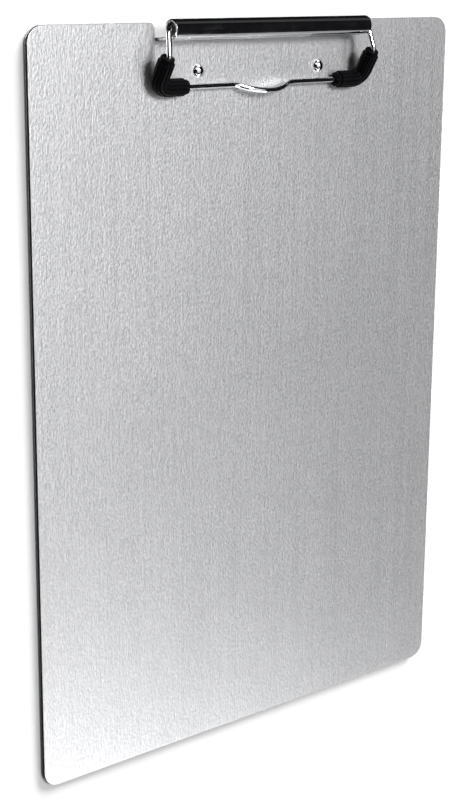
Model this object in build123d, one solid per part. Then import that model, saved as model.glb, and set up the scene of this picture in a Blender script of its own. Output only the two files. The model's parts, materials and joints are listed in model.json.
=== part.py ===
from build123d import *
import math
import os

# Letter-size aluminium clipboard with a wire bail clip.
# Millimetres. X runs across the board, Y up the board towards the clip, Z out of the
# writing face. The board lies on its back: Z = 0 is the back of the clip's base plate,
# and X = Y = 0 is the middle of the whole outline.

# Board: a black core bonded between two aluminium skins
board_width = 228.6
board_length = 317.5
skin_thickness = 0.3
core_thickness = 1.4
corner_radius = 7.0

# Notch in the board's top edge, where the clip's sheet comes through
notch_width = 108.2
notch_depth = 7.3
notch_mouth_radius = 2.8
notch_floor_radius = 1.3

# Clip base plate: one chromed sheet, folded through the notch and rolled into a barrel
sheet_thickness = 1.0
fold_radius = 0.4
plate_length = 106.4
flange_width = 88.0
flange_height = 20.5
flange_corner_radius = 4.0
barrel_radius = 4.0
barrel_axis_drop = 2.2
barrel_axis_height = 9.7
roll_sweep = 305.0

# Rivets through the board
rivet_spacing = 66.4
rivet_middle_x = 1.2
rivet_drop = 19.5
rivet_head_radius = 2.7
rivet_head_height = 2.1
rivet_edge_height = 0.45
rivet_seat_radius = 2.3
rivet_shank_radius = 1.6
rivet_tail_radius = 2.4
rivet_hole_clearance = 0.05

# Bushes that carry the bail in the mouths of the barrel
bush_recess = 1.3
bush_length = 6.0
bush_fit = 0.01
bail_fit = 0.03

# Bail: one bent wire
wire_radius = 1.15
bail_inner_end = 27.0
arm_top_x = 54.4
knee_x = 56.1
knee_below_axis = 10.8
knee_above_axis = 2.7
elbow_x = 56.1
bar_below_axis = 23.3
grip_gap = 0.1
mouth_bend_radius = 2.5
knee_bend_radius = 3.5
elbow_bend_radius = 5.0
lift_half_length = 16.5
lift_rise = 4.0
lift_dip = 2.6
lift_end_radius = 7.5
tip_slot_width = 1.0
tip_slot_length = 3.0

# Rubber corner grips on the bail
grip_radius = 3.7
grip_neck_radius = 3.0
grip_neck_length = 2.0
grip_rib_count = 14
grip_groove_depth = 0.4
grip_rib_share = 0.6
grip_end_x = 41.0
grip_start_after_knee = 0.55
grip_mouth_offset = 0.8
grip_bore_fit = 0.01

# Torsion springs on the bail's ends, inside the barrel
spring_wire_radius = 0.4
spring_coil_radius = 2.05
spring_pitch = 1.1
spring_turns = 14
spring_outer_end = 44.6
spring_tail_in_bush = 2.5
spring_tail_hole_clearance = 0.05

# Places worked out from the dimensions above
board_thickness = core_thickness + 2 * skin_thickness
barrel_rise = barrel_radius - barrel_axis_drop
top_edge_y = (board_length + barrel_rise) / 2 - barrel_rise
board_centre_y = top_edge_y - board_length / 2
back_z = sheet_thickness
front_z = back_z + board_thickness
axis_y = top_edge_y - barrel_axis_drop
axis_z = front_z + barrel_axis_height
notch_floor_y = top_edge_y - notch_depth
shelf_y = notch_floor_y + fold_radius
rivet_y = top_edge_y - rivet_drop
plate_half = plate_length / 2
barrel_bore_radius = barrel_radius - sheet_thickness
bush_outer_x = plate_half - bush_recess
bush_inner_x = bush_outer_x - bush_length
sides = {"left": -1, "right": 1}
rivet_x = {name: rivet_middle_x + side * rivet_spacing / 2 for name, side in sides.items()}


def round_bar(start, direction, length, radius):
    """A plain round bar from a point along a direction."""
    return extrude(Plane(origin=start, z_dir=direction) * Circle(radius), length)


def board_outline():
    """The board's outline with its rounded corners and the clip notch."""
    sheet = Pos(0, board_centre_y) * RectangleRounded(board_width, board_length, corner_radius)
    notch_height = notch_depth + corner_radius
    notch = Pos(0, notch_floor_y + notch_height / 2) * Rectangle(notch_width, notch_height)
    outline = sheet - notch
    for row, radius in ((-1, notch_mouth_radius), (0, notch_floor_radius)):
        on_notch = outline.vertices().filter_by(lambda v: abs(abs(v.X) - notch_width / 2) < 0.01)
        outline = fillet(on_notch.group_by(Axis.Y)[row], radius)
    return outline


def board_layer(outline, bottom_z, thickness):
    """One layer of the board with its two rivet holes."""
    layer = extrude(Pos(0, 0, bottom_z) * outline, thickness)
    for x in rivet_x.values():
        hole_radius = rivet_shank_radius + rivet_hole_clearance
        layer -= round_bar((x, rivet_y, 0), (0, 0, 1), 2 * front_z, hole_radius)
    return layer


def sheet_face_line(depth):
    """One face of the folded sheet in section, at a depth under the face that meets the floor."""
    flange_end = (shelf_y - fold_radius, depth)
    shelf_top = shelf_y + sheet_thickness - depth
    wall_z = axis_z - barrel_radius
    flange = Line((shelf_y - flange_height, depth), flange_end)
    first_fold = JernArc(flange @ 1, flange % 1, fold_radius + sheet_thickness - depth, 90)
    shelf = Line(first_fold @ 1, (shelf_top, wall_z - fold_radius))
    second_fold = JernArc(shelf @ 1, shelf % 1, fold_radius + depth, -90)
    wall = Line(second_fold @ 1, (axis_y, wall_z + depth))
    barrel = JernArc(wall @ 1, wall % 1, barrel_radius - depth, roll_sweep)
    return [flange, first_fold, shelf, second_fold, wall, barrel]


def clip_base_plate():
    """Flange behind the board, shelf through the notch, wall and rolled barrel, in one sheet."""
    outside = sheet_face_line(0)
    inside = sheet_face_line(sheet_thickness)
    start = Line(outside[0] @ 0, inside[0] @ 0)
    end = Line(outside[-1] @ 1, inside[-1] @ 1)
    section = make_face(outside + inside + [start, end])
    plate = extrude(Plane.YZ * section, plate_half, both=True)
    flange_side = (plate_length - flange_width) / 2
    flange_low_y = shelf_y - flange_height
    trim_height = notch_floor_y - flange_low_y
    for side in sides.values():
        trim_x = side * (plate_half - flange_side / 2)
        trim = Box(flange_side, trim_height, 3 * sheet_thickness)
        plate -= Pos(trim_x, flange_low_y + trim_height / 2, 0) * trim
    corners = plate.edges().filter_by(Axis.Z).group_by(Axis.Y)[0]
    plate = fillet(corners, flange_corner_radius)
    for x in rivet_x.values():
        plate -= rivet_solid(x, rivet_hole_clearance)
    return plate


def rivet_solid(x, growth=0.0):
    """A domed rivet whose tail fills a countersink in the base plate, or the hole for it."""
    shank = rivet_shank_radius + growth
    tail = rivet_tail_radius + growth
    head = rivet_head_radius
    head_top = front_z + rivet_head_height
    edge_z = front_z + rivet_edge_height
    dome_height = head_top - edge_z
    dome_radius = (head ** 2 + dome_height ** 2) / (2 * dome_height)
    below_dome = Polyline(
        (0, head_top), (0, 0), (tail, 0), (shank, back_z), (shank, front_z),
        (rivet_seat_radius, front_z), (head, edge_z),
    )
    dome = RadiusArc((head, edge_z), (0, head_top), -dome_radius)
    section = Plane.XZ * make_face([*below_dome.edges(), *dome.edges()])
    return Pos(x, rivet_y, 0) * revolve(section, Axis.Z)


def bail_points():
    """Corners of the bail wire from its right end to its left end, with the bend radius at each."""
    bar_y = axis_y - bar_below_axis
    bar_z = front_z + grip_gap + grip_radius
    lift_height = math.hypot(lift_rise, lift_dip)
    lift_angle = 2 * math.atan(lift_height / lift_half_length)
    lift_corner_x = lift_half_length - lift_end_radius * math.tan(lift_angle / 2)
    apex_height = lift_corner_x * math.tan(lift_angle)
    apex_radius = 0.98 * (lift_half_length / math.sin(lift_angle) - lift_end_radius)
    apex_y = bar_y - apex_height * lift_dip / lift_height
    apex_z = bar_z + apex_height * lift_rise / lift_height
    right = [
        (bail_inner_end, axis_y, axis_z),
        (arm_top_x, axis_y, axis_z),
        (knee_x, axis_y - knee_below_axis, axis_z + knee_above_axis),
        (elbow_x, bar_y, bar_z),
        (lift_corner_x, bar_y, bar_z),
    ]
    left = [(-x, y, z) for x, y, z in reversed(right)]
    bends = [mouth_bend_radius, knee_bend_radius, elbow_bend_radius, lift_end_radius]
    return right + [(0, apex_y, apex_z)] + left, bends + [apex_radius] + bends[::-1]


def bail_wire(points, bends):
    """The bail: one bent wire with a slot across each end for the spring's tail."""
    path = FilletPolyline(*points, radius=bends)
    wire = sweep(Plane(origin=path @ 0, z_dir=path % 0) * Circle(wire_radius), path=path)
    for side in sides.values():
        slot = Box(2 * tip_slot_length, tip_slot_width, 4 * wire_radius)
        wire -= Pos(side * bail_inner_end, axis_y, axis_z) * slot
    return wire


def ribbed_circle(radius):
    """A grip's section: flat ribs round a circle, with a shallow groove between each two."""
    corners = []
    for rib in range(grip_rib_count):
        for place, depth in ((0, 0), (grip_rib_share, 0), ((1 + grip_rib_share) / 2, grip_groove_depth)):
            angle = 2 * math.pi * (rib + place) / grip_rib_count
            reach = radius - depth
            corners.append((reach * math.cos(angle), reach * math.sin(angle)))
    return make_face(Polyline(*corners, close=True))


def corner_grip(points, bends):
    """The right-hand rubber grip: a ribbed elbow with a neck at each mouth."""
    knee, elbow = Vector(*points[2]), Vector(*points[3])
    wire_leg = (elbow - knee).normalized()
    towards_board = Vector(1, 0, 0).cross(wire_leg).normalized()
    top = knee + wire_leg * grip_start_after_knee + towards_board * grip_mouth_offset
    down_leg = (elbow - top).normalized()
    inner = Vector(grip_end_x, elbow.Y, elbow.Z)

    def elbow_sweep(section, inset):
        path = FilletPolyline(
            top + down_leg * inset, elbow, inner + Vector(inset, 0, 0), radius=elbow_bend_radius
        )
        return sweep(Plane(origin=path @ 0, z_dir=path % 0) * section, path=path)

    ribbed = elbow_sweep(ribbed_circle(grip_radius), grip_neck_length)
    neck = elbow_sweep(ribbed_circle(grip_neck_radius), 0)
    wire_path = FilletPolyline(*points[:5], radius=bends[:3])
    bore = Circle(wire_radius + grip_bore_fit)
    return ribbed + neck - sweep(Plane(origin=wire_path @ 0, z_dir=wire_path % 0) * bore, path=wire_path)


def barrel_bush():
    """The right-hand bush, with a blind hole for the spring's fixed tail."""
    start = (bush_inner_x, axis_y, axis_z)
    bush = round_bar(start, (1, 0, 0), bush_length, barrel_bore_radius - bush_fit)
    bush -= round_bar(start, (1, 0, 0), bush_length, wire_radius + bail_fit)
    tail_start = (bush_inner_x, axis_y, axis_z - spring_coil_radius)
    tail_radius = spring_wire_radius + spring_tail_hole_clearance
    tail_depth = spring_tail_in_bush + spring_tail_hole_clearance
    return bush - round_bar(tail_start, (1, 0, 0), tail_depth, tail_radius)


def torsion_spring():
    """The right-hand spring: a coil, a tail along the barrel and a tail across it."""
    coil_length = spring_turns * spring_pitch
    inner_x = spring_outer_end - coil_length
    low_z = axis_z - spring_coil_radius
    path = Helix(spring_pitch, coil_length, spring_coil_radius)
    wire = Plane(origin=path @ 0, z_dir=path % 0) * Circle(spring_wire_radius)
    coil = sweep(wire, path=path, is_frenet=True)
    spring = Pos(inner_x, axis_y, axis_z) * Rot(0, 90, 0) * coil
    fixed_tail = bush_inner_x + spring_tail_in_bush - spring_outer_end
    spring += round_bar((spring_outer_end, axis_y, low_z), (1, 0, 0), fixed_tail, spring_wire_radius)
    cross_tail = spring_coil_radius + wire_radius
    spring += round_bar((inner_x, axis_y, low_z), (0, 0, 1), cross_tail, spring_wire_radius)
    for x in (inner_x, spring_outer_end):
        spring += Pos(x, axis_y, low_z) * Sphere(spring_wire_radius)
    return spring


outline = board_outline()
points, bends = bail_points()
nodes = {
    "board_back_skin": board_layer(outline, back_z, skin_thickness),
    "board_core": board_layer(outline, back_z + skin_thickness, core_thickness),
    "board_front_skin": board_layer(outline, front_z - skin_thickness, skin_thickness),
    "clip_base_plate": clip_base_plate(),
    "bail_wire": bail_wire(points, bends),
}
right_hand = {
    "corner_grip": corner_grip(points, bends),
    "barrel_bush": barrel_bush(),
    "torsion_spring": torsion_spring(),
}
for name, side in sides.items():
    for kind, piece in right_hand.items():
        nodes[f"{kind}_{name}"] = piece if side > 0 else mirror(piece, about=Plane.YZ)
    nodes[f"rivet_{name}"] = rivet_solid(rivet_x[name])

os.makedirs("parts", exist_ok=True)
for name, piece in nodes.items():
    export_step(piece, f"parts/{name}.step")
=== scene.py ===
import json
import math

import bmesh
import bpy
from mathutils import Matrix, Quaternion, Vector


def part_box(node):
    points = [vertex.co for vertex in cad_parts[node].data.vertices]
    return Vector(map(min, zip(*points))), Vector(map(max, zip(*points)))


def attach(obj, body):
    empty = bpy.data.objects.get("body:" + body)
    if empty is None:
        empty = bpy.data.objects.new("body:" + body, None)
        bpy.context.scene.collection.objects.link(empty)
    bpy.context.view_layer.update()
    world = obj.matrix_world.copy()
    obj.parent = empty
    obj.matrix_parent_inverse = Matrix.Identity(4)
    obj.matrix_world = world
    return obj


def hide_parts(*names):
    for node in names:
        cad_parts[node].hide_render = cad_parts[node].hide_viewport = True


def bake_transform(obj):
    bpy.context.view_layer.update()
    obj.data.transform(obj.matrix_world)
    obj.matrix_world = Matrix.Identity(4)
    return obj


# Letter-size clipboard in the CAD frame. Metres. X runs across the board, Y up the board
# towards the clip, Z out of the writing face, and the floor is Z = 0.

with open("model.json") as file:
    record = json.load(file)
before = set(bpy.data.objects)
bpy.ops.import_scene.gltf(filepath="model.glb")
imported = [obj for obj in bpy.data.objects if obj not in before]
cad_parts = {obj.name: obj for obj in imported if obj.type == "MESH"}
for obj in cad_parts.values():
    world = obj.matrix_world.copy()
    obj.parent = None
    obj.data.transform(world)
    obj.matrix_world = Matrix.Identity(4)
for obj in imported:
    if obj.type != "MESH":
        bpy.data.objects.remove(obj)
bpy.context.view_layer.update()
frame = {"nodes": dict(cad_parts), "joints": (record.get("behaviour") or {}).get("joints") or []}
mm = 0.001
scene = bpy.context.scene

# Places read from the frame
front_low, front_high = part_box("board_front_skin")
core_low, core_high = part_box("board_core")
back_low, back_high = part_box("board_back_skin")
plate_low, plate_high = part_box("clip_base_plate")
hinge = Vector(frame["joints"][0]["pos_m"])
front_z = front_high.z
back_z = back_low.z
rivet_places = {}
for side_name in ("left", "right"):
    rivet_low, rivet_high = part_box(f"rivet_{side_name}")
    rivet_places[side_name] = (rivet_low + rivet_high) / 2

# Board
corner_radius = 7.0 * mm
notch_half = 54.1 * mm
notch_depth = 7.3 * mm
notch_mouth_radius = 2.8 * mm
notch_floor_radius = 1.3 * mm
skin_rim = 0.1 * mm
core_rim = 0.2 * mm
core_recess = 0.06 * mm
rivet_hole_radius = 1.65 * mm

# Clip base plate
sheet = 1.0 * mm
sheet_rim = 0.22 * mm
fold_radius = 0.4 * mm
flange_half = 44.0 * mm
flange_corner_radius = 4.0 * mm
shoulder_run = 0.5 * mm
shoulder_flare = 0.1 * mm
shoulder_step = 0.01 * mm
barrel_radius = plate_high.z - hinge.z
roll_sweep = math.radians(305)
notch_floor_y = front_high.y - notch_depth
shelf_y = notch_floor_y + fold_radius
countersink_radius = 2.47 * mm

# Rivets
head_radius = 2.7 * mm
head_height = 2.1 * mm
head_edge = 0.45 * mm
seat_radius = 2.3 * mm
shank_radius = 1.6 * mm
tail_radius = 2.4 * mm

# Bail wire
wire_radius = 1.15 * mm
inner_end = 27.0 * mm
arm_top_x = 54.4 * mm
elbow_x = 56.1 * mm
knee_below_axis = 10.8 * mm
knee_above_axis = 2.7 * mm
bar_below_axis = 23.3 * mm
grip_gap = 0.1 * mm
mouth_bend = 2.5 * mm
knee_bend = 3.5 * mm
elbow_bend = 5.0 * mm
lift_half = 16.5 * mm
lift_rise = 4.0 * mm
lift_dip = 2.6 * mm
lift_end_bend = 7.5 * mm
slot_width = 1.0 * mm
slot_length = 3.0 * mm
wire_chamfer = 0.25 * mm

# Rubber corner grips
grip_radius = 3.7 * mm
neck_radius = 3.0 * mm
neck_length = 2.0 * mm
rib_count = 14
groove_depth = 0.4 * mm
rib_share = 0.58
rib_points = 10
grip_start_after_knee = 0.55 * mm
grip_end_x = 41.0 * mm
grip_mouth_offset = 0.8 * mm
grip_bore_radius = 1.2 * mm

# Bushes in the barrel's mouths
bush_recess = 1.3 * mm
bush_length = 6.0 * mm
bush_radius = 2.98 * mm
bush_bore = 1.18 * mm

# Mesh
arc_step = math.radians(6)
sharp_angle = math.radians(50)
weld_distance = 0.0005 * mm
sides = {"left": -1, "right": 1}


# Shapes ---------------------------------------------------------------------------------

def link_object(name, data):
    """Adds an object to the scene."""
    added = bpy.data.objects.new(name, data)
    scene.collection.objects.link(added)
    return added


def mesh_object(name, mesh):
    """Turns a bmesh into an object."""
    data = bpy.data.meshes.new(name)
    mesh.to_mesh(data)
    mesh.free()
    return link_object(name, data)


def add_piece(name, mesh, body, slot, material, *nodes):
    """Turns a bmesh into a piece that rides on a body and stands for CAD nodes."""
    bmesh.ops.remove_doubles(mesh, verts=mesh.verts, dist=weld_distance)
    bmesh.ops.recalc_face_normals(mesh, faces=mesh.faces)
    piece = mesh_object(name, mesh)
    piece.data.materials.append(material)
    piece.data.set_sharp_from_angle(angle=sharp_angle)
    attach(piece, body)
    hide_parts(*nodes)
    return piece


def stitch(mesh, near, far):
    """Smooth faces between two rings that have the same number of points."""
    for i in range(len(near)):
        j = (i + 1) % len(near)
        mesh.faces.new((near[i], near[j], far[j], far[i])).smooth = True


def loft(loops, close=False):
    """A closed surface through loops that all have the same number of points."""
    mesh = bmesh.new()
    rings = [[mesh.verts.new(point) for point in loop] for loop in loops]
    pairs = list(zip(rings, rings[1:]))
    if close:
        pairs.append((rings[-1], rings[0]))
    for near, far in pairs:
        stitch(mesh, near, far)
    if not close:
        mesh.faces.new(rings[0][::-1])
        mesh.faces.new(rings[-1])
    return mesh


def arc(centre, radius, start, end, steps):
    """Points (x, y) along an arc between two angles in degrees."""
    points = []
    for step in range(steps + 1):
        angle = math.radians(start + (end - start) * step / steps)
        points.append((centre[0] + radius * math.cos(angle), centre[1] + radius * math.sin(angle)))
    return points


def round_outline(x, y, radius, count):
    """Points (x, y) all the way round a circle."""
    return arc((x, y), radius, 0, 360 - 360 / count, count - 1)


def rounded_edge(low, high, radius):
    """(inset, height) along an edge rounded at both faces, from the low face to the high one."""
    steps = 3
    turn = [math.radians(90 * step / steps) for step in range(steps + 1)]
    rounding = [(radius * (1 - math.sin(a)), radius * (1 - math.cos(a))) for a in turn]
    bottom = [(inset, low + rise) for inset, rise in rounding]
    top = [(inset, high - rise) for inset, rise in reversed(rounding)]
    return bottom + top


def cut(piece, cutter):
    """Takes a cutter's volume out of a piece."""
    bmesh.ops.recalc_face_normals(cutter, faces=cutter.faces)
    tool = mesh_object("cutter", cutter)
    difference = piece.modifiers.new("cut", "BOOLEAN")
    difference.operation = "DIFFERENCE"
    difference.solver = "EXACT"
    difference.object = tool
    bpy.context.view_layer.update()
    evaluated = piece.evaluated_get(bpy.context.evaluated_depsgraph_get())
    result = bpy.data.meshes.new_from_object(evaluated)
    piece.modifiers.remove(difference)
    piece.data = result
    bpy.data.objects.remove(tool)


def even_normals(piece):
    """Shades wide flat faces flat, and keeps the roundings beside them smooth."""
    weighted = piece.modifiers.new("even_normals", "WEIGHTED_NORMAL")
    weighted.keep_sharp = True
    weighted.weight = 90


# Board ----------------------------------------------------------------------------------

def board_outline(inset):
    """The board's outline, moved inwards, with its corners and the clip notch."""
    left, right = front_low.x + inset, front_high.x - inset
    low, high = front_low.y + inset, front_high.y - inset
    corner = corner_radius - inset
    mouth_x = notch_half + notch_mouth_radius
    mouth_y = front_high.y - notch_mouth_radius
    mouth = notch_mouth_radius - inset
    floor_x = notch_half - notch_floor_radius
    floor_y = notch_floor_y + notch_floor_radius
    floor_bend = notch_floor_radius + inset
    return (
        arc((right - corner, low + corner), corner, -90, 0, 16)
        + arc((right - corner, high - corner), corner, 0, 90, 16)
        + arc((mouth_x, mouth_y), mouth, 90, 180, 10)
        + arc((floor_x, floor_y), floor_bend, 0, -90, 8)
        + arc((-floor_x, floor_y), floor_bend, -90, -180, 8)
        + arc((-mouth_x, mouth_y), mouth, 0, 90, 10)
        + arc((left + corner, high - corner), corner, 90, 180, 16)
        + arc((left + corner, low + corner), corner, 180, 270, 16)
    )


def board_layer(low, high, rim, recess):
    """One layer of the board with rounded rims and two rivet holes."""
    mesh = bmesh.new()
    rims = {"bottom": [], "top": []}
    profile = rounded_edge(low, high, rim)
    outlines = [lambda inset: board_outline(inset + recess)]
    for place in rivet_places.values():
        outlines.append(lambda inset, at=place: round_outline(at.x, at.y, rivet_hole_radius + inset, 24))
    for outline in outlines:
        rings = [[mesh.verts.new((x, y, z)) for x, y in outline(inset)] for inset, z in profile]
        for near, far in zip(rings, rings[1:]):
            stitch(mesh, near, far)
        for key, ring in (("bottom", rings[0]), ("top", rings[-1])):
            for i in range(len(ring)):
                rims[key].append(mesh.edges.get((ring[i], ring[(i + 1) % len(ring)])))
    for edges in rims.values():
        bmesh.ops.triangle_fill(mesh, use_beauty=True, edges=edges)
    return mesh


# Clip base plate ------------------------------------------------------------------------

def plate_stations():
    """Along the folded sheet: (outer face point, direction to the inner face, half width)."""
    stations = []
    flange_low = plate_low.y
    wall_z = hinge.z - barrel_radius
    up, forward = Vector((0, 0, 1)), Vector((0, 1, 0))
    turns = 8
    for step in range(turns + 1):
        angle = math.radians(90 * step / turns)
        y = flange_low + flange_corner_radius * (1 - math.cos(angle))
        half = flange_half - flange_corner_radius * (1 - math.sin(angle))
        stations.append((Vector((0, y, 0)), up, half))
    plate_half = plate_high.x
    shoulder = (
        (notch_floor_y - shoulder_run, flange_half),
        (notch_floor_y, flange_half + shoulder_flare),
        (notch_floor_y + shoulder_step, plate_half),
    )
    for y, half in shoulder:
        stations.append((Vector((0, y, 0)), up, half))
    first_bend = fold_radius + sheet
    centre = Vector((0, shelf_y - fold_radius, first_bend))
    for step in range(turns + 1):
        angle = math.radians(90 * step / turns)
        spoke = forward * math.sin(angle) - up * math.cos(angle)
        stations.append((centre + spoke * first_bend, -spoke, plate_half))
    centre = Vector((0, shelf_y + sheet + fold_radius, wall_z - fold_radius))
    for step in range(turns + 1):
        angle = math.radians(90 * step / turns)
        spoke = -forward * math.cos(angle) + up * math.sin(angle)
        stations.append((centre + spoke * fold_radius, spoke, plate_half))
    centre = Vector((0, hinge.y, hinge.z))
    roll_steps = 80
    for step in range(roll_steps + 1):
        angle = roll_sweep * step / roll_steps
        spoke = forward * math.sin(angle) - up * math.cos(angle)
        stations.append((centre + spoke * barrel_radius, -spoke, plate_half))
    return stations


def plate_loop(outer, inward, half, squeeze=0.0):
    """The sheet across its width at one station: a long thin rectangle with rounded ends."""
    profile = rounded_edge(squeeze, sheet - squeeze, sheet_rim)
    right = [outer + inward * depth + Vector((half - inset, 0, 0)) for inset, depth in profile]
    left = [outer + inward * depth - Vector((half - inset, 0, 0)) for inset, depth in reversed(profile)]
    return right + left


def clip_base_plate():
    """The folded and rolled sheet."""
    stations = plate_stations()
    loops = []
    for (outer, inward, half), (next_outer, *_) in ((stations[0], stations[1]), (stations[-1], stations[-2])):
        heading = (next_outer - outer).normalized()
        ends = []
        for inset, squeeze in ((0.0, sheet_rim), (0.3 * sheet_rim, 0.3 * sheet_rim)):
            ends.append(plate_loop(outer + heading * inset, inward, half, squeeze))
        loops.append(ends)
    body = [plate_loop(*station) for station in stations[1:-1]]
    return loft(loops[0] + body + loops[1][::-1])


def countersink(place):
    """The hole for a rivet through the flange, wider at the back."""
    rings = []
    for z, radius in ((-sheet, countersink_radius), (0, countersink_radius), (sheet, rivet_hole_radius),
                      (2 * sheet, rivet_hole_radius)):
        rings.append([(x, y, z) for x, y in round_outline(place.x, place.y, radius, 48)])
    return loft(rings)


# Round parts ----------------------------------------------------------------------------

def ring(centre, axis, radius, count):
    """Points round a circle about an axis."""
    first = Vector((0, 1, 0))
    side = (first - axis * first.dot(axis)).normalized()
    other = axis.cross(side)
    points = []
    for i in range(count):
        angle = 2 * math.pi * i / count
        points.append(centre + (side * math.cos(angle) + other * math.sin(angle)) * radius)
    return points


def rivet(place):
    """A domed head over a shank, with a tail that fills the countersink."""
    head_top = front_z + head_height
    edge_z = front_z + head_edge
    dome = head_height - head_edge
    dome_radius = (head_radius ** 2 + dome ** 2) / (2 * dome)
    full = math.asin(head_radius / dome_radius)
    rim = 0.12 * mm
    profile = []
    for step in range(19):
        angle = full * step / 19
        profile.append((dome_radius * math.sin(angle), head_top - dome_radius * (1 - math.cos(angle))))
    profile += [
        (head_radius - 0.3 * rim, edge_z + 0.9 * rim),
        (head_radius, edge_z), (head_radius - rim, edge_z - rim),
        (seat_radius, front_z), (shank_radius, front_z), (shank_radius, back_z),
        (tail_radius, rim), (tail_radius - rim, 0), (0, 0),
    ]
    up = Vector((0, 0, 1))
    loops = [ring(Vector((place.x, place.y, z)), up, max(radius, 0), 64) for radius, z in profile]
    return loft(loops)


def bush(side):
    """A plain bush with chamfered edges, in the mouth of the barrel."""
    chamfer = 0.3 * mm
    outer_x = plate_high.x - bush_recess
    inner_x = outer_x - bush_length
    profile = [
        (inner_x, bush_bore), (inner_x, bush_radius - chamfer), (inner_x + chamfer, bush_radius),
        (outer_x - chamfer, bush_radius), (outer_x, bush_radius - chamfer),
        (outer_x, bush_bore + chamfer), (outer_x - chamfer, bush_bore),
    ]
    axis = Vector((1, 0, 0))
    return loft([ring(Vector((side * x, hinge.y, hinge.z)), axis, r, 48) for x, r in profile], close=True)


# Bail -----------------------------------------------------------------------------------

def rounded_path(corners, bends):
    """(point, heading) along straight runs joined by tangent arcs."""
    start, end = corners[0], corners[-1]
    path = [(start, (corners[1] - start).normalized())]
    for before, corner, after, bend in zip(corners, corners[1:], corners[2:], bends):
        heading = (corner - before).normalized()
        leaving = (after - corner).normalized()
        turn = heading.angle(leaving)
        first = corner - heading * bend * math.tan(turn / 2)
        axis = heading.cross(leaving).normalized()
        centre = first + axis.cross(heading) * bend
        steps = max(3, math.ceil(turn / arc_step))
        for step in range(steps + 1):
            rotation = Quaternion(axis, turn * step / steps)
            path.append((centre + rotation @ (first - centre), rotation @ heading))
    path.append((end, (end - corners[-2]).normalized()))
    return path


def bail_corners():
    """Corners of the bail wire from its right end to its left end, and the bend at each."""
    bar_y = hinge.y - bar_below_axis
    bar_z = front_z + grip_gap + grip_radius
    lift_height = math.hypot(lift_rise, lift_dip)
    lift_angle = 2 * math.atan(lift_height / lift_half)
    lift_corner_x = lift_half - lift_end_bend * math.tan(lift_angle / 2)
    apex_height = lift_corner_x * math.tan(lift_angle)
    apex_bend = 0.98 * (lift_half / math.sin(lift_angle) - lift_end_bend)
    apex_y = bar_y - apex_height * lift_dip / lift_height
    apex_z = bar_z + apex_height * lift_rise / lift_height
    right = [
        Vector((inner_end, hinge.y, hinge.z)),
        Vector((arm_top_x, hinge.y, hinge.z)),
        Vector((elbow_x, hinge.y - knee_below_axis, hinge.z + knee_above_axis)),
        Vector((elbow_x, bar_y, bar_z)),
        Vector((lift_corner_x, bar_y, bar_z)),
    ]
    left = [Vector((-p.x, p.y, p.z)) for p in reversed(right)]
    bends = [mouth_bend, knee_bend, elbow_bend, lift_end_bend]
    return right + [Vector((0, apex_y, apex_z))] + left, bends + [apex_bend] + bends[::-1]


def across(stations, sections):
    """Loops of points across a path, one section of (a, b) offsets for each station."""
    side = Vector((0.0, 0.3, 1.0))
    loops = []
    for (point, heading), section in zip(stations, sections):
        side = (side - heading * side.dot(heading)).normalized()
        other = heading.cross(side)
        loops.append([point + side * a + other * b for a, b in section])
    return loops


def circle(radius, count):
    """A round section."""
    turn = 2 * math.pi / count
    return [(radius * math.cos(turn * i), radius * math.sin(turn * i)) for i in range(count)]


def bail_wire():
    """The whole bail, with its ends chamfered; the slot across each end for the spring's tail is cut from it
    afterwards.
    """
    corners, bends = bail_corners()
    stations = rounded_path(corners, bends)
    (first, first_heading), (last, last_heading) = stations[0], stations[-1]
    stations.insert(1, (first + first_heading * wire_chamfer, first_heading))
    stations.insert(-1, (last - last_heading * wire_chamfer, last_heading))
    narrow = circle(wire_radius - wire_chamfer, 32)
    sections = [narrow] + [circle(wire_radius, 32)] * (len(stations) - 2) + [narrow]
    return loft(across(stations, sections))


def slot_cutter(x):
    """A rounded slot across the end of the wire."""
    half_width = slot_width / 2
    reach = slot_length - half_width
    rim = [(px + math.copysign(reach, px - x), py) for px, py in round_outline(x, hinge.y, half_width, 48)]
    return loft([[(px, py, hinge.z + z) for px, py in rim] for z in (-2 * wire_radius, 2 * wire_radius)])


def ribbed(radius, depth):
    """A round section with smooth ribs and narrow grooves."""
    points = []
    count = rib_count * rib_points
    for i in range(count):
        place = (i % rib_points) / rib_points
        groove = 0.0
        if place > rib_share:
            groove = math.sin(math.pi * (place - rib_share) / (1 - rib_share)) ** 2
        reach = radius - depth * groove
        angle = 2 * math.pi * i / count
        points.append((reach * math.cos(angle), reach * math.sin(angle)))
    return points


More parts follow.
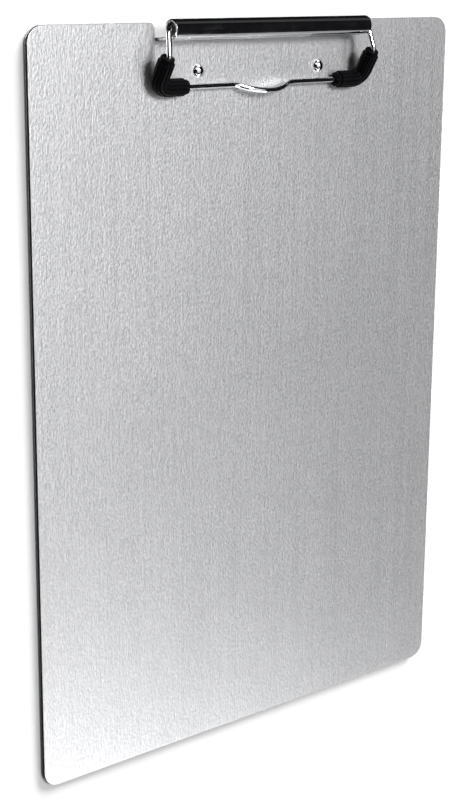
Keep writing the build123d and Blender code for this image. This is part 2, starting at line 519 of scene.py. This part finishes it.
def corner_grip(side):
    """A ribbed elbow with a narrower neck at each mouth, and a bore that follows the wire."""
    corners, bends = bail_corners()
    knee, elbow = corners[2], corners[3]
    wire_leg = (elbow - knee).normalized()
    towards_board = Vector((1, 0, 0)).cross(wire_leg).normalized()
    top = knee + wire_leg * grip_start_after_knee + towards_board * grip_mouth_offset
    inner = Vector((grip_end_x, elbow.y, elbow.z))
    count = rib_count * rib_points
    mouth = [
        (0.25 * mm, circle(grip_bore_radius + 0.1 * mm, count)),
        (0.0, circle(grip_bore_radius + 0.45 * mm, count)),
        (0.0, ribbed(neck_radius - 0.35 * mm, 0.55 * groove_depth)),
        (0.1 * mm, ribbed(neck_radius - 0.1 * mm, 0.9 * groove_depth)),
        (0.35 * mm, ribbed(neck_radius, groove_depth)),
        (neck_length - 0.05 * mm, ribbed(neck_radius, groove_depth)),
        (neck_length, ribbed(neck_radius + 0.15 * mm, groove_depth)),
        (neck_length + 0.03 * mm, ribbed(grip_radius - 0.25 * mm, 0.8 * groove_depth)),
        (neck_length + 0.12 * mm, ribbed(grip_radius - 0.06 * mm, groove_depth)),
        (neck_length + 0.35 * mm, ribbed(grip_radius, groove_depth)),
    ]
    bend = rounded_path([top, elbow, inner], [elbow_bend])[1:-1]
    down_leg = (elbow - top).normalized()
    along = (inner - elbow).normalized()
    stations = [(top + down_leg * depth, down_leg) for depth, _ in mouth] + bend
    stations += [(inner - along * depth, along) for depth, _ in reversed(mouth)]
    sections = [section for _, section in mouth] + [ribbed(grip_radius, groove_depth)] * len(bend)
    sections += [section for _, section in reversed(mouth)]
    outside = across(stations, sections)
    wire = rounded_path(corners[:5], bends[:3])
    bore = [s for s in wire if (s[0] - top).dot(down_leg) > 0.6 * mm and s[0].x > inner.x + 0.6 * mm]
    bore.append((inner - along * 0.6 * mm, along))
    inside = across(bore, [circle(grip_bore_radius, count)] * len(bore))
    loops = outside + inside[::-1]
    loops = [[Vector((side * p[0], p[1], p[2])) for p in loop] for loop in loops]
    return loft(loops, close=True)


def winding_spring(name, material):
    """The torsion spring between the bush and the end of the wire, copied in its rest shape from the CAD
    node.
    """
    node = f"torsion_spring_{name}"
    rest = frame["nodes"][node]
    spring = link_object(f"spring_{name}", rest.data.copy())
    spring.matrix_world = rest.matrix_world
    spring.data.materials.clear()
    spring.data.materials.append(material)
    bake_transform(spring)
    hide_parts(node)


# Materials ------------------------------------------------------------------------------

def new_material(name, color, metallic, roughness, specular=0.5):
    """A material with its constants on the shader itself."""
    material = bpy.data.materials.new(name)
    material.use_nodes = True
    shader = material.node_tree.nodes["Principled BSDF"]
    shader.inputs["Base Color"].default_value = (*color, 1)
    shader.inputs["Metallic"].default_value = metallic
    shader.inputs["Roughness"].default_value = roughness
    shader.inputs["Specular IOR Level"].default_value = specular
    return material


def noise(material, scale, detail=3.0, stretch=(1, 1, 1), roughness=0.5):
    """A noise pattern in the piece's own space; scale is in features for each metre."""
    tree = material.node_tree
    place = tree.nodes.new("ShaderNodeTexCoord")
    mapping = tree.nodes.new("ShaderNodeMapping")
    mapping.inputs["Scale"].default_value = [scale * s for s in stretch]
    pattern = tree.nodes.new("ShaderNodeTexNoise")
    pattern.inputs["Scale"].default_value = 1.0
    pattern.inputs["Detail"].default_value = detail
    pattern.inputs["Roughness"].default_value = roughness
    tree.links.new(place.outputs["Object"], mapping.inputs["Vector"])
    tree.links.new(mapping.outputs["Vector"], pattern.inputs["Vector"])
    return pattern.outputs["Fac"]


def spread(material, value, low, high, from_low=0.3, from_high=0.7):
    """Maps a pattern onto a range of numbers."""
    tree = material.node_tree
    ranger = tree.nodes.new("ShaderNodeMapRange")
    ranger.inputs["From Min"].default_value = from_low
    ranger.inputs["From Max"].default_value = from_high
    ranger.inputs["To Min"].default_value = low
    ranger.inputs["To Max"].default_value = high
    tree.links.new(value, ranger.inputs["Value"])
    return ranger.outputs["Result"]


def add(material, first, second):
    """One pattern on top of another."""
    tree = material.node_tree
    maths = tree.nodes.new("ShaderNodeMath")
    maths.operation = "ADD"
    tree.links.new(first, maths.inputs[0])
    tree.links.new(second, maths.inputs[1])
    return maths.outputs["Value"]


def tint(material, value, dark, light):
    """Base colour that runs from dark to light with a pattern."""
    tree = material.node_tree
    ramp = tree.nodes.new("ShaderNodeValToRGB")
    ramp.color_ramp.elements[0].color = (*dark, 1)
    ramp.color_ramp.elements[1].color = (*light, 1)
    tree.links.new(value, ramp.inputs["Fac"])
    tree.links.new(ramp.outputs["Color"], tree.nodes["Principled BSDF"].inputs["Base Color"])


def bump(material, value, strength, distance):
    """Fine relief."""
    tree = material.node_tree
    relief = tree.nodes.new("ShaderNodeBump")
    relief.inputs["Strength"].default_value = strength
    relief.inputs["Distance"].default_value = distance
    tree.links.new(value, relief.inputs["Height"])
    tree.links.new(relief.outputs["Normal"], tree.nodes["Principled BSDF"].inputs["Normal"])


def rough(material, value):
    """Roughness from a pattern."""
    tree = material.node_tree
    tree.links.new(value, tree.nodes["Principled BSDF"].inputs["Roughness"])


def brushed_aluminium():
    """Satin aluminium: short fine grain lines up the board, and a sparkle between them."""
    material = new_material("board_aluminium", (0.78, 0.78, 0.8), 1.0, 0.42)
    grain = noise(material, 2200, 2.0, (1, 0.14, 1), 0.6)
    long_grain = noise(material, 700, 2.0, (1, 0.008, 1), 0.6)
    speckle = noise(material, 1000, 1.0, (1, 0.75, 1), 0.5)
    cloud = noise(material, 14, 2.0)
    weights = ((grain, 0.4), (long_grain, 0.14), (speckle, 0.45), (cloud, 0.07))
    layers = [spread(material, pattern, 0.0, weight) for pattern, weight in weights]
    lines = add(material, layers[0], layers[1])
    mottle = add(material, layers[2], layers[3])
    tone = add(material, lines, mottle)
    tint(material, tone, (0.66, 0.665, 0.68), (0.9, 0.9, 0.91))
    rough(material, spread(material, tone, 0.38, 0.46, 0.0, 1.0))
    bump(material, tone, 0.65, 0.1 * mm)
    return material


def polished_chrome(name, roughness):
    """Bright plating with faint wipe marks and slight waviness."""
    material = new_material(name, (0.78, 0.79, 0.8), 1.0, roughness)
    haze = noise(material, 160, 3.0, (1, 1, 1), 0.6)
    wipes = noise(material, 2500, 2.0, (0.05, 1, 1), 0.6)
    tint(material, haze, (0.74, 0.75, 0.76), (0.84, 0.845, 0.85))
    rough(material, spread(material, haze, 0.6 * roughness, 1.5 * roughness))
    bump(material, wipes, 0.04, 0.01 * mm)
    return material


def grip_rubber():
    """Soft black rubber with a fine moulded grain and a little dust."""
    material = new_material("grip_rubber", (0.0015, 0.0015, 0.002), 0.0, 0.5, specular=0.05)
    grain = noise(material, 6000, 3.0)
    dust = noise(material, 700, 4.0, (1, 1, 1), 0.7)
    tint(material, dust, (0.0005, 0.0005, 0.0007), (0.002, 0.002, 0.0025))
    rough(material, spread(material, dust, 0.42, 0.62))
    bump(material, grain, 0.3, 0.03 * mm)
    return material


def core_plastic():
    """The board's black core, with fine marks from trimming."""
    material = new_material("board_core_black", (0.02, 0.02, 0.021), 0.0, 0.5, specular=0.4)
    marks = noise(material, 900, 3.0, (1, 1, 0.1), 0.6)
    tint(material, marks, (0.012, 0.012, 0.013), (0.035, 0.035, 0.036))
    rough(material, spread(material, marks, 0.4, 0.65))
    bump(material, marks, 0.25, 0.05 * mm)
    return material


def bush_plastic():
    """Dark moulded nylon."""
    material = new_material("bush_plastic", (0.03, 0.03, 0.03), 0.0, 0.45)
    grain = noise(material, 2500, 3.0)
    tint(material, grain, (0.02, 0.02, 0.02), (0.05, 0.05, 0.05))
    rough(material, spread(material, grain, 0.38, 0.58))
    bump(material, grain, 0.2, 0.02 * mm)
    return material


def spring_steel():
    """Oiled spring wire."""
    material = new_material("spring_steel", (0.42, 0.42, 0.43), 1.0, 0.3)
    stain = noise(material, 600, 4.0, (1, 1, 1), 0.65)
    tint(material, stain, (0.3, 0.29, 0.28), (0.55, 0.55, 0.56))
    rough(material, spread(material, stain, 0.22, 0.42))
    bump(material, stain, 0.1, 0.02 * mm)
    return material


aluminium = brushed_aluminium()
core_black = core_plastic()
plate_chrome = polished_chrome("clip_chrome", 0.09)
rivet_chrome = polished_chrome("rivet_chrome", 0.08)
wire_chrome = polished_chrome("wire_chrome", 0.09)
rubber = grip_rubber()
nylon = bush_plastic()
steel = spring_steel()

# Pieces ---------------------------------------------------------------------------------

fixed, moving = "board_and_clip", "bail"
front_skin = add_piece("front_skin", board_layer(front_low.z, front_high.z, skin_rim, 0), fixed,
                       "board_aluminium", aluminium, "board_front_skin")
back_skin = add_piece("back_skin", board_layer(back_low.z, back_high.z, skin_rim, 0), fixed,
                      "board_aluminium", aluminium, "board_back_skin")
core = add_piece("core", board_layer(core_low.z, core_high.z, core_rim, core_recess), fixed,
                 "board_core_black", core_black, "board_core")
for layer in (front_skin, back_skin, core):
    even_normals(layer)
plate = add_piece("base_plate", clip_base_plate(), fixed, "clip_chrome", plate_chrome, "clip_base_plate")
for place in rivet_places.values():
    cut(plate, countersink(place))
even_normals(plate)
wire = add_piece("bail", bail_wire(), moving, "wire_chrome", wire_chrome, "bail_wire")
for side in sides.values():
    cut(wire, slot_cutter(side * inner_end))
for name, side in sides.items():
    add_piece(f"rivet_{name}_domed", rivet(rivet_places[name]), fixed, "rivet_chrome",
              rivet_chrome, f"rivet_{name}")
    add_piece(f"bush_{name}", bush(side), fixed, "bush_plastic", nylon, f"barrel_bush_{name}")
    add_piece(f"grip_{name}", corner_grip(side), moving, "grip_rubber", rubber, f"corner_grip_{name}")
    winding_spring(name, steel)

# Studio ---------------------------------------------------------------------------------

def add_camera():
    """The camera, to the left of the board and above it."""
    place = Vector((-0.45685, 0.18051, 0.54043))
    aim = Vector((-0.01343, -0.0046, 0.003))
    up_hint = Vector((0.1578, 0.96645, -0.20267))
    data = bpy.data.cameras.new("camera")
    data.sensor_fit = "VERTICAL"
    data.sensor_height = 36.0
    data.lens = 73.74
    data.clip_start = 0.02
    camera = link_object("camera", data)
    back = (place - aim).normalized()
    right = up_hint.cross(back).normalized()
    turn = Matrix((right, back.cross(right), back)).transposed().to_4x4()
    turn.translation = place
    camera.matrix_world = turn
    scene.camera = camera


def add_light(name, kind, direction, energy):
    """A light that shines from a direction."""
    data = bpy.data.lights.new(name, kind)
    data.energy = energy
    light = link_object(name, data)
    light.rotation_euler = Vector(direction).to_track_quat("Z", "Y").to_euler()
    return light


def sun(name, direction, strength, degrees):
    """A distant soft light."""
    light = add_light(name, "SUN", direction, strength)
    light.data.angle = math.radians(degrees)
    return light


def softbox(name, direction, distance, size, power):
    """A square soft light that faces the middle of the board."""
    light = add_light(name, "AREA", direction, power)
    light.data.size = size
    light.location = Vector(direction).normalized() * distance


def floor_and_backdrop():
    """A pale floor, and a pale dome round it that only the camera sees."""
    reach = 6.0
    mesh = bmesh.new()
    bmesh.ops.create_grid(mesh, x_segments=8, y_segments=8, size=reach)
    floor = mesh_object("floor", mesh)
    floor.data.materials.append(new_material("floor", (0.33, 0.33, 0.33), 0.0, 0.9, specular=0.0))
    floor.visible_glossy = False
    mesh = bmesh.new()
    bmesh.ops.create_uvsphere(mesh, u_segments=48, v_segments=24, radius=reach)
    backdrop = mesh_object("backdrop", mesh)
    glow = new_material("backdrop", (0, 0, 0), 0.0, 1.0, specular=0.0)
    shader = glow.node_tree.nodes["Principled BSDF"]
    shader.inputs["Emission Color"].default_value = (1, 1, 1, 1)
    shader.inputs["Emission Strength"].default_value = 1.1
    backdrop.data.materials.append(glow)
    backdrop.visible_diffuse = False
    backdrop.visible_glossy = False
    backdrop.visible_shadow = False
    backdrop.visible_transmission = False


add_camera()
floor_and_backdrop()
sun("key", (0.0, 0.32, 1), 3.6, 16)
sun("ceiling", (0, 0, 1), 0.65, 60)
softbox("window", (-0.5, 0.75, 0.65), 1.6, 0.8, 7)
softbox("front", (0.3, -0.82, 0.42), 1.5, 0.85, 13.5)
softbox("horizon", (0.65, -0.75, 0.12), 1.5, 0.6, 0.42)
softbox("rear", (0.65, 0.74, 0.15), 1.5, 0.6, 0.05)
floor_light = sun("floor_light", (0.5, 0.78, 0.33), 17, 46)
floor_light.visible_glossy = False
scene.world = bpy.data.worlds.new("studio")
scene.world.use_nodes = True
scene.world.node_tree.nodes["Background"].inputs["Color"].default_value = (0.008, 0.008, 0.009, 1)
scene.view_settings.view_transform = "Standard"

bpy.context.view_layer.update()
